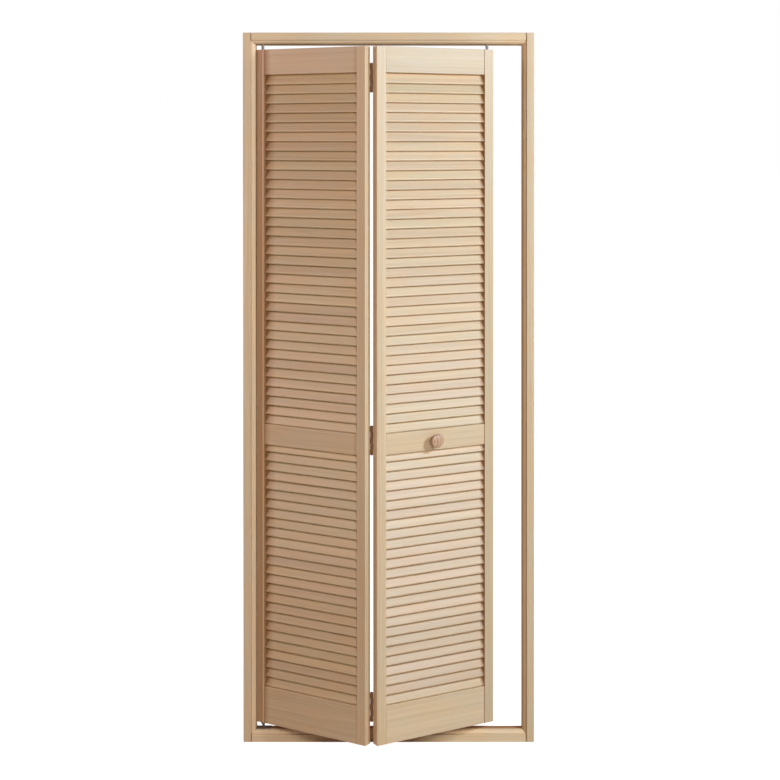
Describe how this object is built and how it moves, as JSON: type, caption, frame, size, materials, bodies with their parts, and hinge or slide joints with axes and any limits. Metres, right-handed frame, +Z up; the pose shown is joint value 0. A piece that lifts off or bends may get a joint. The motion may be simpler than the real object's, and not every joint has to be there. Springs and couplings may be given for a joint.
{
  "type": "bifold closet door",
  "caption": "Louvred pine bifold closet door: two hinged leaves with slats and a round knob, folding in a moulded frame on pivots and a guided top roller.",
  "frame": {"origin": "under the middle of the sill, on the line of the top track, at mid depth of the frame", "axes": "+X along the opening to the right as seen from the room, -Y towards the room, +Z up"},
  "size_m": [0.84, 0.2102, 2.05],
  "materials": {
    "frame_pine": "sanded unfinished pine",
    "leaf_pine": "sanded unfinished pine",
    "slat_pine": "sanded unfinished pine",
    "knob_wood": "turned unfinished wood",
    "dowel_beech": "plain beech",
    "hinge_bronze": "dark bronze",
    "dark_steel": "dark oiled steel",
    "zinc_steel": "zinc plated",
    "white_nylon": "moulded nylon"
  },
  "bodies": {
    "frame": {"jamb_left": "frame_pine", "jamb_right": "frame_pine", "head_member": "frame_pine", "sill": "frame_pine", "frame_corner_screws": "zinc_steel", "top_track": "zinc_steel", "top_track_screws": "zinc_steel", "top_pivot_bracket": "white_nylon", "top_pivot_bracket_screw": "zinc_steel", "bottom_pivot_socket": "dark_steel", "bottom_socket_screws": "dark_steel"},
    "left_leaf": {"left_pivot_stile": "leaf_pine", "left_hinge_stile": "leaf_pine", "left_bottom_rail": "leaf_pine", "left_mid_rail": "leaf_pine", "left_top_rail": "leaf_pine", "left_upper_slats": "slat_pine", "left_lower_slats": "slat_pine", "left_dowels": "dowel_beech", "hinge_top_left_plate": "hinge_bronze", "hinge_middle_left_plate": "hinge_bronze", "hinge_bottom_left_plate": "hinge_bronze", "hinge_top_pin": "hinge_bronze", "hinge_middle_pin": "hinge_bronze", "hinge_bottom_pin": "hinge_bronze", "hinge_screws_left": "hinge_bronze", "top_pivot_sleeve": "white_nylon", "top_pivot_spring": "zinc_steel", "bottom_pivot_sleeve": "white_nylon", "bottom_pivot_pin": "dark_steel", "bottom_pivot_nut": "dark_steel"},
    "right_leaf": {"right_hinge_stile": "leaf_pine", "right_lead_stile": "leaf_pine", "right_bottom_rail": "leaf_pine", "right_mid_rail": "leaf_pine", "right_top_rail": "leaf_pine", "right_upper_slats": "slat_pine", "right_lower_slats": "slat_pine", "right_dowels": "dowel_beech", "hinge_top_right_plate": "hinge_bronze", "hinge_middle_right_plate": "hinge_bronze", "hinge_bottom_right_plate": "hinge_bronze", "hinge_screws_right": "hinge_bronze", "guide_sleeve": "white_nylon", "guide_spring": "zinc_steel", "knob": "knob_wood", "knob_screw": "zinc_steel"},
    "top_pivot_pin": {"top_pivot_pin": "dark_steel"},
    "guide_pin": {"guide_pin": "zinc_steel"},
    "guide_roller": {"guide_roller": "white_nylon"}
  },
  "joints": [
    {"name": "left_leaf_fold", "type": "hinge", "parent": "frame", "child": "left_leaf", "pos_m": [-0.36401, 0, 1], "axis": [0, 0, -1], "range_deg": [-30.15, 57.5]},
    {"name": "right_leaf_fold", "type": "hinge", "parent": "left_leaf", "child": "right_leaf", "pos_m": [-0.04016, -0.16868, 1], "axis": [0, 0, 1], "range_deg": [-60.3, 115]},
    {"name": "top_pivot_retract", "type": "slide", "parent": "left_leaf", "child": "top_pivot_pin", "axis": [0, 0, -1], "range_m": [0, 0.017], "stiffness_N_per_m": 600, "springref_m": -0.006, "deforming": ["top_pivot_spring"]},
    {"name": "guide_pin_retract", "type": "slide", "parent": "right_leaf", "child": "guide_pin", "axis": [0, 0, -1], "range_m": [0, 0.017], "stiffness_N_per_m": 600, "springref_m": -0.006, "deforming": ["guide_spring"]},
    {"name": "guide_roller_spin", "type": "hinge", "parent": "guide_pin", "child": "guide_roller", "pos_m": [0.28368, 0, 2.02], "axis": [0, 0, 1], "continuous": true}
  ],
  "couplings": [
    {"joint": "right_leaf_fold", "follows": "left_leaf_fold", "ratio": 2}
  ]
}
